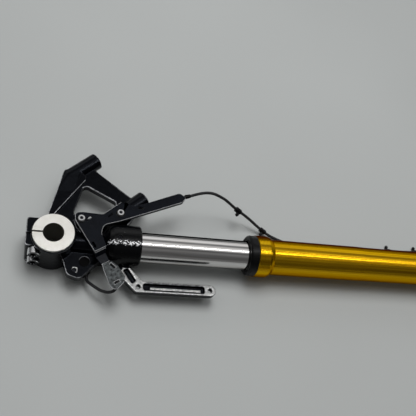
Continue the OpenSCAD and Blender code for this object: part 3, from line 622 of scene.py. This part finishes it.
edgeFacts = {"axle_collar": ("splitCollar", 0.35 * mm, lowerLeg),
             "lead_guide": ("leadGuide", 0.6 * mm, lowerLeg),
             "guide_tail": ("guideTail", 0.6 * mm, lowerLeg), "dust_seal": ("dustSeal", 0.4 * mm, outerLeg),
             "top_cap": ("topCap", 0.4 * mm, outerLeg)}
highlightedPieces = ("lead_guide", "guide_tail")
tieSlots = ((0.046, 0.027), (0.076, 0.036), (0.096, 0.057), (0.119, 0.0515), (0.055, -0.012))
slotReach = 6.5 * mm
highlightLeanLimit = 0.52  # how far an edge has to lean towards the camera to get a painted highlight
edgeAngle = 30
boreRadius, boreUpright = 14.1 * mm, 0.3
strap = {"start": Vector((0.0637, -0.0177, 0)), "along": Vector((0.5, -0.866, 0)),
         "run": (1.2 * mm, 16.5 * mm)}


def bevelled(node):
    name, width, body = edgeFacts[node]
    highlighted = node in highlightedPieces
    mesh = mergedCopy(node, name)
    smoothShaded(mesh, edgeAngle)
    piece = newObject(name, mesh, finishes[node], body)
    bevel = piece.modifiers.new("edges", "BEVEL")
    bevel.width = width
    bevel.segments = 2
    bevel.limit_method = "ANGLE"
    bevel.angle_limit = math.radians(edgeAngle)
    bevel.use_clamp_overlap = not highlighted
    bevel.harden_normals = True
    # the bevels take the painted highlight material
    if highlighted:
        mesh.materials.append(paintedEdgeHighlight)
        bevel.material = 1
    bakeModifiers(piece)
    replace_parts(piece, node)
    return piece.data


def repaint(mesh, material, chosen):
    # the faces that chosen picks take this material
    mesh.materials.append(material)
    for polygon in mesh.polygons:
        if chosen(polygon):
            polygon.material_index = len(mesh.materials) - 1


def nearSlot(c):
    return min(math.hypot(c.x - x, c.y - y) for x, y in tieSlots) < slotReach


def breakEdges():
    pieces = {node: bevelled(node) for node in edgeFacts}
    for node in highlightedPieces:
        # edges that lean away from the camera, and those in the tie slots, keep the coat and get no painted
        # highlight
        for polygon in pieces[node].polygons:
            inSlot = node == "lead_guide" and nearSlot(polygon.center)
            if inSlot or polygon.normal.dot(highlightLean) < highlightLeanLimit:
                polygon.material_index = 0
    repaint(pieces["axle_collar"], boreSteel, lambda polygon: abs(polygon.normal.z) < boreUpright
            and math.hypot(polygon.center.x, polygon.center.y) < boreRadius)
    # the strap between the tail's two folds is still fully coated
    start, end = strap["run"]
    repaint(pieces["guide_tail"], guidePlastic,
            lambda polygon: start < (polygon.center - strap["start"]).dot(strap["along"]) < end)


breakEdges()
print("edges broken")


# screws

# shadedFace is how far round the socket a bolt's end face gets painted shade
screwFacts = {"pinch": {"head": 8 * mm, "length": 10 * mm, "socket": 4 * mm, "deep": 5 * mm,
                        "shadedFace": 6.4 * mm,
                        "shank": 4 * mm, "reach": 33 * mm, "turn": Matrix(((1, 0, 0), (0, 0, -1), (0, 1, 0))),
                        "places": ((-0.0237, -0.018, 0.010), (-0.0237, -0.018, -0.016))},
              "guide": {"head": 4.8 * mm, "length": 3 * mm, "socket": 2.2 * mm, "deep": 1.8 * mm, "shadedFace": 0,
                        "shank": 2.5 * mm, "reach": 7.5 * mm, "turn": Matrix.Identity(3),
                        "places": ((0.036, 0.026, 0.0237), (0.090, 0.040, 0.0237))}}
# chamfer, socket flare and shank tip are shares of the head's, the socket's and the shank's radius
headFacts = {"chamfer": 0.1, "flare": 1.12, "mouth": 0.4 * mm, "tip": 0.8, "tipLong": 0.8 * mm, "drill": 0.2,
             "drillDeep": 0.6 * mm, "hexagonCuts": 7, "sides": 48}
socketShadeFacts = {"wide": 1.02, "below": 0.5 * mm, "lip": 0.1 * mm}
washerFacts = {"inner": 4.7 * mm, "outer": 6.4 * mm, "high": 1.0 * mm, "wall": 0.6, "lip": 0.1 * mm,
               "slope": 0.8 * mm, "sunk": 0.2 * mm}


def socketHead(work, facts, place):
    head, length, socket, shank, reach = (facts[k] for k in ("head", "length", "socket", "shank", "reach"))
    chamfer, mouth = head * headFacts["chamfer"], headFacts["mouth"]
    turn = facts["turn"]
    axis = turn @ Vector((0, 0, 1))
    profile = [(shank * headFacts["tip"], -reach), (shank, headFacts["tipLong"] - reach), (shank, 0),
               (head - chamfer / 2, 0), (head, chamfer / 2), (head, length - chamfer),
               (head - chamfer, length), (socket * headFacts["flare"], length)]
    spun(work, profile, place, turn, headFacts["sides"], closed=False)
    top = length - cadSeam
    rim = [e for e in work.edges if e.is_boundary and all((v.co - place).dot(axis) > top for v in e.verts)]
    # the hexagon is cut into as many edges as the round rim has, and is sunk from it
    stand = Matrix.Translation(place) @ turn.to_4x4()
    bmesh.ops.create_circle(work, radius=socket, segments=6,
                            matrix=stand @ Matrix.Translation((0, 0, length - mouth))
                            @ Matrix.Rotation(math.pi / 6, 4, "Z"))
    bmesh.ops.subdivide_edges(work, edges=[e for e in work.edges if e.is_wire], cuts=headFacts["hexagonCuts"])
    hexagon = [e for e in work.edges if e.is_wire]
    bmesh.ops.bridge_loops(work, edges=rim + hexagon)
    drill = headFacts["drill"]
    moves = (Matrix.Translation((0, 0, mouth - facts["deep"])),
             Matrix.Translation((0, 0, -headFacts["drillDeep"])) @ Matrix.Diagonal((drill, drill, 1, 1)))
    drawnOut(work, hexagon, [stand @ move @ stand.inverted() for move in moves])
    bmesh.ops.holes_fill(work, edges=[e for e in work.edges if e.is_boundary], sides=headFacts["sides"])


def shadedSockets(mesh, facts):
    # painted shade: the hexagon sockets read dark, and so do the pinch bolts' end faces round them, as a
    # painted dark reflection
    axis = facts["turn"] @ Vector((0, 0, 1))

    def inPaintedShade(polygon):
        for place in facts["places"]:
            away = polygon.center - Vector(place)
            depth = away.dot(axis)
            out = (away - axis * depth).length
            lip = facts["length"] - socketShadeFacts["lip"]
            inSocket = out < facts["socket"] * socketShadeFacts["wide"] and socketShadeFacts["below"] < depth < lip
            if inSocket or (out < facts["shadedFace"] and depth > lip):
                return True
        return False

    repaint(mesh, blackOxide, inPaintedShade)


def makeScrews():
    for kind, name, node in (("pinch", "pinchBolts", "pinch_bolts"),
                             ("guide", "guideScrews", "guide_screws")):
        facts = screwFacts[kind]

        def screwShapes(work):
            for place in facts["places"]:
                socketHead(work, facts, Vector(place))

        screws = newPiece(name, screwShapes, finishes[node], lowerLeg)
        shadedSockets(screws.data, facts)
        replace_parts(screws, node)

    def washers(work):
        inner, outer, high = (washerFacts[key] for key in ("inner", "outer", "high"))
        profile = [(inner, 0), (outer, 0), (outer - washerFacts["lip"], high * washerFacts["wall"]),
                   (outer - washerFacts["slope"], high), (inner, high)]
        for x, y, z in screwFacts["guide"]["places"]:
            spun(work, profile, Vector((x, y, z - washerFacts["sunk"])), Matrix.Identity(3))

    newPiece("guideWashers", washers, sealRubber, lowerLeg)


makeScrews()
print("screws made")


# ejector marks on the guide

markFacts = {"height": 23.5 * mm, "proud": 0.2 * mm, "inner": 0.72, "crown": 0.9, "wall": 0.6, "sides": 24,
             "places": ((0.0505, 0.0185, 2.3 * mm), (0.0700, 0.0300, 1.6 * mm), (0.1090, 0.0495, 1.8 * mm),
                        (0.1370, 0.0600, 1.5 * mm), (0.0620, -0.0040, 1.8 * mm), (0.1700, 0.0730, 1.5 * mm))}


def guideMarks(work):
    proud = markFacts["proud"]
    for x, y, r in markFacts["places"]:
        inner = r * markFacts["inner"]
        profile = [(inner, -proud / 2), (r, -proud / 2), (r, proud * markFacts["wall"]),
                   (r * markFacts["crown"], proud), (inner, proud)]
        spun(work, profile, Vector((x, y, markFacts["height"])), Matrix.Identity(3), markFacts["sides"])


newPiece("guideMarks", guideMarks, guidePlastic, lowerLeg)
print("marks made")


# lead

leadFacts = {"radius": 2.2 * mm, "sides": 14, "onFloor": -28.6 * mm, "layer": 4.55 * mm,
             "foldRadius": 13.4 * mm,
             "shade": 60, "steps": 4, "heldSteps": 5}
# both runs are in millimetres
visibleRun = [
    (186, 79, 19.4), (195, 81, 21.5), (203, 82.5, 25), (211, 83, 29), (219, 83, 31.5), (229, 83, 30),
    (239, 82.5, 25), (249, 82, 18.5), (257, 81, 12), (265, 79, 6), (275, 75.5, 0), (287, 72, -6),
    (300, 67, -13), (311, 61, -18), (321, 55.5, -22), (333, 50, -25.5), (348, 45, -28), (365, 40, -28.6),
    (390, 37, -28.6), (420, 36, -28.6), (450, 36.5, -28.6), (480, 38, -28.6), (510, 40, -28.6),
    (543, 41.5, -27.8), (570, 42, -28.6), (595, 43, -27.8), (614, 45, -28.6)]
heldRun = [
    (50, -40, -18), (51, -48, -18), (57, -55, -14), (64, -61, -11), (71, -66, -8), (79, -69, -4),
    (86, -68.5, 0.5), (89.5, -63, 4), (88, -55, 6), (85, -47, 6.5), (80.5, -38, 6.5), (75.5, -30, 6.5),
    (69.5, -24, 7), (65.5, -19, 9.5), (63, -14, 14), (60.5, -8, 18), (58.5, -1, 19.4), (58, 9, 19.4),
    (60.5, 18, 19.4), (67, 24, 19.4), (79, 29, 19.4), (93, 33.4, 19.4), (108, 41, 19.4), (124, 50, 19.4),
    (140, 58.5, 19.4), (156, 66, 19.4), (172, 73.5, 19.4), (186, 79, 19.4)]
hank = {"left": 0.6295, "right": 0.6905, "middle": 0.050, "turns": 2, "arc": 15, "climb": 9,
        "entry": ((0.622, 0.0412), (0.6305, 0.0380)), "first": (0.640, 0.652, 0.665, 0.678),
        "far": (0.678, 0.665, 0.652, 0.640), "near": (0.642, 0.655, 0.667, 0.679),
        "leave": (0.690, 0.697, 0.703, 0.709, 0.715, 0.721, 0.727, 0.733), "fall": (0.698, 0.730)}


def eased(t):
    return t * t * (3 - 2 * t)


def hankPoints():
    # long loops laid on each other: each turn climbs by one layer at its left end, and the last end comes
    # down to the floor again
    r, layer, ground = leadFacts["foldRadius"], leadFacts["layer"], leadFacts["onFloor"]
    low, high = hank["middle"] - r, hank["middle"] + r
    points = [Vector((x, y, ground)) for x, y in hank["entry"]]
    points += [Vector((x, low, ground)) for x in hank["first"]]
    halfTurn = range(0, 181, hank["arc"])
    for turn in range(hank["turns"]):
        z = ground + turn * layer
        for a in halfTurn:
            angle = math.radians(a - 90)
            points.append(Vector((hank["right"] + r * math.cos(angle), hank["middle"] + r * math.sin(angle),
                                  z)))
        points += [Vector((x, high, z)) for x in hank["far"]]
        for k, a in enumerate(halfTurn):
            angle = math.radians(a + 90)
            climbed = layer * eased(min(k / hank["climb"], 1))
            points.append(Vector((hank["left"] + r * math.cos(angle), hank["middle"] + r * math.sin(angle),
                                  z + climbed)))
        points += [Vector((x, low, z + layer)) for x in hank["near"]]
    top = ground + hank["turns"] * layer
    for x in hank["leave"]:
        points.append(Vector((x, low, top + (ground - top) * eased(between(x, *hank["fall"])))))
    return points


def leadPiece(name, run):
    return newPiece(name, lambda work: sweptRound(work, run, leadFacts["radius"], leadFacts["sides"]),
                    leadJacket,
                    lowerLeg, leadFacts["shade"])


def makeLead():
    run = smoothRun([Vector(p) * mm for p in visibleRun] + hankPoints(), leadFacts["steps"])
    lead = leadPiece("speedLead", run)
    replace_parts(lead, "sensor_cable", "cable_hank")
    held = smoothRun([Vector(p) * mm for p in heldRun], leadFacts["heldSteps"])
    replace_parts(leadPiece("heldLead", held), "sensor_lead")


# each place is a point of the visible run, the side that the foot points to, and the sleeve's radius. Each
# section is the distance beyond the sleeve, the half width and the half depth of the stem and its foot, in
# millimetres
clipFacts = {"half": 5 * mm, "bevel": 0.4 * mm, "play": 0.05 * mm, "opening": math.radians(30),
             "steps": 27, "places": ((10, -1, 4.3 * mm), (14, -1, 4.0 * mm), (23, 1, 3.1 * mm),
                                     (25, 1, 3.1 * mm)),
             "sections": ((-0.5, 1.7, 1.5), (1.4, 1.3, 1.3), (2.2, 1.3, 1.3), (2.5, 2.6, 1.7),
                          (3.4, 2.5, 1.6),
                          (5.6, 1.4, 1.2), (6.0, 1.0, 0.9))}


def clipShapes(work):
    # a snap clip is a split sleeve round the lead, a stem, and a barbed foot
    half, bevel, opening = (clipFacts[key] for key in ("half", "bevel", "opening"))
    inner = leadFacts["radius"] + clipFacts["play"]
    for i, side, grip in clipFacts["places"]:
        point = Vector(visibleRun[i]) * mm
        along = (Vector(visibleRun[i + 1]) - Vector(visibleRun[i - 1])).normalized()
        out = Vector((0, 0, 1)).cross(along).normalized() * side
        turn = Matrix((out, out.cross(along).normalized(), along)).transposed()
        profile = [(inner, -half), (grip - bevel, -half), (grip, bevel - half), (grip, half - bevel),
                   (grip - bevel, half), (inner, half)]
        spun(work, profile, point, turn @ Matrix.Rotation(math.pi - opening, 3, "Z"), clipFacts["steps"],
             fullTurn - opening)
        bmesh.ops.holes_fill(work, edges=[e for e in work.edges if e.is_boundary], sides=len(profile))
        frames = [Matrix.Translation(point + out * (grip + x * mm)) @ turn.to_4x4()
                  @ Matrix.Rotation(math.pi / 2, 4, "Y") @ Matrix.Diagonal((w * mm, h * mm, 1, 1))
                  for x, w, h in clipFacts["sections"]]
        foot = bmesh.ops.create_grid(work, x_segments=1, y_segments=1, size=1, matrix=frames[0])["verts"]
        edges = list(dict.fromkeys(e for v in foot for e in v.link_edges))
        drawnOut(work, edges, [b @ a.inverted() for a, b in zip(frames, frames[1:])])


leadClips = newPiece("leadClips", clipShapes, clipPlastic, lowerLeg)
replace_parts(leadClips, "cable_clips")
makeLead()
print("lead made")


# floor, light and camera

floorFacts = {"half": 6, "height": -31.02 * mm, "cloud": 0.5, "dark": "#b1b4b3", "light": "#bdc0bf"}
lightFacts = {"softKey": {"size": (1.0, 1.0), "place": (0.2, 0.7, 1.9), "target": (0.3, 0, 0), "power": 22},
              "overheadStrip": {"size": (4.0, 0.12), "place": (0.6, 0.13, 2.0), "target": (0.6, 0.03, 0),
                                "power": 14}}
# brightness of the room by angle, from level behind the fork, over the top, to level in front
roomLevels = ((0, 0.14), (6, 0.17), (14, 0.5), (34, 0.88), (43, 0.5), (50, 0.14), (58, 0.27), (66, 0.54),
              (76, 0.84),
              (94, 0.86), (99, 0.38), (104, 0.08), (122, 0.17), (140, 0.09), (158, 0.08), (176, 0.14))
# how the room falls away into dark past both ends of the leg
endFacts = {"from": 0.6, "to": 0.82, "level": 0.25}
cameraFacts = {"azimuth": -27.98, "elevation": 56.93, "roll": -29.36, "lens": 54.52, "sensor": 36,
               "place": (-0.01997, -0.3890, 0.8075)}


def makeFloor():
    work = bmesh.new()
    bmesh.ops.create_grid(work, x_segments=4, y_segments=4, size=floorFacts["half"],
                          matrix=Matrix.Translation((0, 0, floorFacts["height"])))
    mesh = bpy.data.meshes.new("floor")
    work.to_mesh(mesh)
    work.free()
    floor = bpy.data.objects.new("floor", mesh)
    bpy.context.scene.collection.objects.link(floor)
    # a pale painted board, matt and even
    material, tree, shader = newMaterial("floorGrey", Roughness=0.6)
    colour = addNode(tree, "Mix", {mixShare: surfaceGrain(tree, floorFacts["cloud"], 2.0),
                                   colourA: linear(floorFacts["dark"]),
                                   colourB: linear(floorFacts["light"])}, out=colourOut, data_type="RGBA")
    feed(tree, shader, {"Base Color": colour})
    mesh.materials.append(material)


def makeLight():
    # the wide key lights the floor and the matt pieces, and the strip is seen only in glossy ones
    for name, facts in lightFacts.items():
        light = bpy.data.lights.new(name, "AREA")
        light.shape = "RECTANGLE"
        light.size, light.size_y = facts["size"]
        light.energy = facts["power"]
        holder = bpy.data.objects.new(name, light)
        away = Vector(facts["place"]) - Vector(facts["target"])
        turn = away.to_track_quat("Z", "Y").to_matrix().to_4x4()
        holder.matrix_world = Matrix.Translation(facts["place"]) @ turn
        holder.visible_diffuse = name == "softKey"
        holder.visible_glossy = name != "softKey"
        bpy.context.scene.collection.objects.link(holder)
    world = bpy.data.worlds.new("studio")
    bpy.context.scene.world = world
    world.use_nodes = True
    tree = world.node_tree
    tree.nodes.clear()
    parts = addNode(tree, "SeparateXYZ", {0: addNode(tree, "TexCoord", out="Generated")}).outputs
    turn = addNode(tree, "Math", {0: parts["Z"], 1: parts["Y"]}, out=0, operation="ARCTAN2")
    share = addNode(tree, "Math", {0: turn, 1: math.pi}, out=0, operation="DIVIDE")
    ramp = addNode(tree, "ValToRGB", {0: share})
    elements = ramp.color_ramp.elements
    while len(elements) < len(roomLevels):
        elements.new(0.5)
    for element, (angle, level) in zip(elements, roomLevels):
        element.position = angle / 180
        element.color = (level, level, level, 1)
    endOn = addNode(tree, "Math", {0: parts["X"]}, out=0, operation="ABSOLUTE")
    strength = addNode(tree, "MapRange", {"Value": endOn, "From Min": endFacts["from"],
                                          "From Max": endFacts["to"],
                                          "To Min": 1.0, "To Max": endFacts["level"]}, out="Result")
    room = addNode(tree, "Background", {"Color": ramp.outputs["Color"], "Strength": strength}, out=0)
    addNode(tree, "OutputWorld", {0: room})


def makeCamera():
    azimuth, elevation, roll = (math.radians(cameraFacts[key]) for key in ("azimuth", "elevation", "roll"))
    back = Vector((math.sin(azimuth) * math.cos(elevation), -math.cos(azimuth) * math.cos(elevation),
                   math.sin(elevation)))
    right = Vector((math.cos(azimuth), math.sin(azimuth), 0))
    level = Matrix((right, back.cross(right), back)).transposed().to_4x4()
    lens = bpy.data.cameras.new("camera")
    lens.sensor_width = cameraFacts["sensor"]
    lens.lens = cameraFacts["lens"]
    camera = bpy.data.objects.new("camera", lens)
    bpy.context.scene.collection.objects.link(camera)
    camera.matrix_world = Matrix.Translation(cameraFacts["place"]) @ level @ Matrix.Rotation(-roll, 4, "Z")
    bpy.context.scene.camera = camera


makeFloor()
makeLight()
makeCamera()
bpy.context.scene.view_settings.view_transform = "Standard"
print("stage made")
